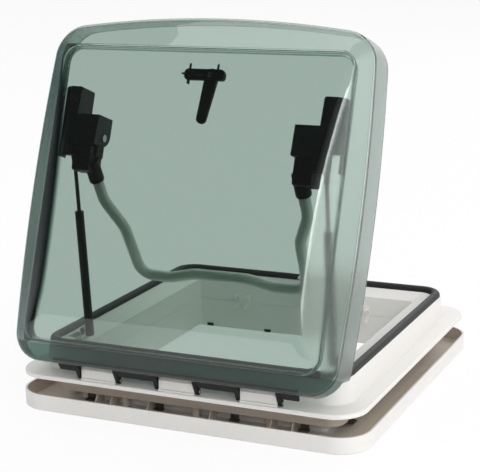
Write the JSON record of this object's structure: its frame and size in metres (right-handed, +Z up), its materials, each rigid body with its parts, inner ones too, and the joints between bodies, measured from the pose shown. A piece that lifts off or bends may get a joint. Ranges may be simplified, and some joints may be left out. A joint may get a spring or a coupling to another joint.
{
  "type": "rv skylight",
  "caption": "Square roof skylight for a caravan: double smoked dome on a hinge over a clamp-in frame, held up by gas struts, pulled shut with a bail and locked by a turn latch.",
  "frame": {"origin": "centre of the inner frame's room face, on the plane it rests on", "axes": "+X runs along the hinge, +Y points from the hinge towards the opening edge, +Z points up through the roof"},
  "size_m": [0.48, 0.5174, 0.4977],
  "materials": {
    "white_plastic": "satin",
    "smoked_acrylic": "gloss",
    "clear_acrylic": "gloss",
    "black_plastic": "satin",
    "grey_plastic": "satin",
    "seal_rubber": "matte",
    "bracket_steel": "matte",
    "screw_steel": "satin",
    "bail_metal": "satin",
    "cylinder_paint": "gloss",
    "rod_chrome": "polished"
  },
  "bodies": {
    "frame": {"outer_frame": "white_plastic", "seal": "seal_rubber", "inner_frame": "white_plastic", "clamp_brackets": "bracket_steel", "clamp_screws": "screw_steel", "frame_screws": "screw_steel", "bail_hooks": "white_plastic", "latch_catch": "white_plastic", "liner_clips": "black_plastic", "hinge_pin": "screw_steel", "left_strut_foot": "screw_steel", "right_strut_foot": "screw_steel"},
    "dome": {"dome_outer": "smoked_acrylic", "dome_inner": "clear_acrylic", "hinge_bar": "black_plastic", "left_guide_box": "grey_plastic", "right_guide_box": "grey_plastic", "left_pivot_box": "grey_plastic", "right_pivot_box": "grey_plastic", "box_screws": "screw_steel", "bail_pivot_pins": "screw_steel", "latch_base": "grey_plastic", "latch_pin": "screw_steel"},
    "bail": {"bail_tube": "bail_metal", "left_bail_block": "grey_plastic", "right_bail_block": "grey_plastic"},
    "latch_lever": {"latch_lever": "grey_plastic"},
    "left_strut_cylinder": {"left_strut_cylinder": "cylinder_paint", "left_strut_gland": "black_plastic", "left_strut_foot_socket": "black_plastic"},
    "left_strut_rod": {"left_strut_rod": "rod_chrome", "left_strut_piston": "screw_steel", "left_strut_rod_end": "black_plastic"},
    "right_strut_cylinder": {"right_strut_cylinder": "cylinder_paint", "right_strut_gland": "black_plastic", "right_strut_foot_socket": "black_plastic"},
    "right_strut_rod": {"right_strut_rod": "rod_chrome", "right_strut_piston": "screw_steel", "right_strut_rod_end": "black_plastic"}
  },
  "joints": [
    {"name": "dome_hinge", "type": "hinge", "parent": "frame", "child": "dome", "pos_m": [0, -0.2365, 0.055], "axis": [1, 0, 0], "range_deg": [-69.3, 0]},
    {"name": "bail_swing", "type": "hinge", "parent": "dome", "child": "bail", "pos_m": [0, -0.16115, 0.34777], "axis": [1, 0, 0], "range_deg": [0, 80]},
    {"name": "latch_turn", "type": "hinge", "parent": "dome", "child": "latch_lever", "pos_m": [0.008, -0.13654, 0.42987], "axis": [0, -0.9354, 0.3535], "range_deg": [0, 90]},
    {"name": "left_strut_swing", "type": "hinge", "parent": "frame", "child": "left_strut_cylinder", "pos_m": [-0.172, -0.153, 0.086], "axis": [1, 0, 0], "range_deg": [-92.3, 0]},
    {"name": "left_strut_slide", "type": "slide", "parent": "left_strut_cylinder", "child": "left_strut_rod", "axis": [0, -0.0728, 0.9973], "range_m": [-0.0491, 0]},
    {"name": "right_strut_swing", "type": "hinge", "parent": "frame", "child": "right_strut_cylinder", "pos_m": [0.172, -0.153, 0.086], "axis": [1, 0, 0], "range_deg": [-92.3, 0]},
    {"name": "right_strut_slide", "type": "slide", "parent": "right_strut_cylinder", "child": "right_strut_rod", "axis": [0, -0.0728, 0.9973], "range_m": [-0.0491, 0]}
  ],
  "couplings": [
    {"joint": "left_strut_swing", "follows": "dome_hinge", "ratio": 1.33},
    {"joint": "left_strut_slide", "follows": "dome_hinge", "m_per_rad": 0.0405},
    {"joint": "right_strut_swing", "follows": "dome_hinge", "ratio": 1.33},
    {"joint": "right_strut_slide", "follows": "dome_hinge", "m_per_rad": 0.0405}
  ]
}
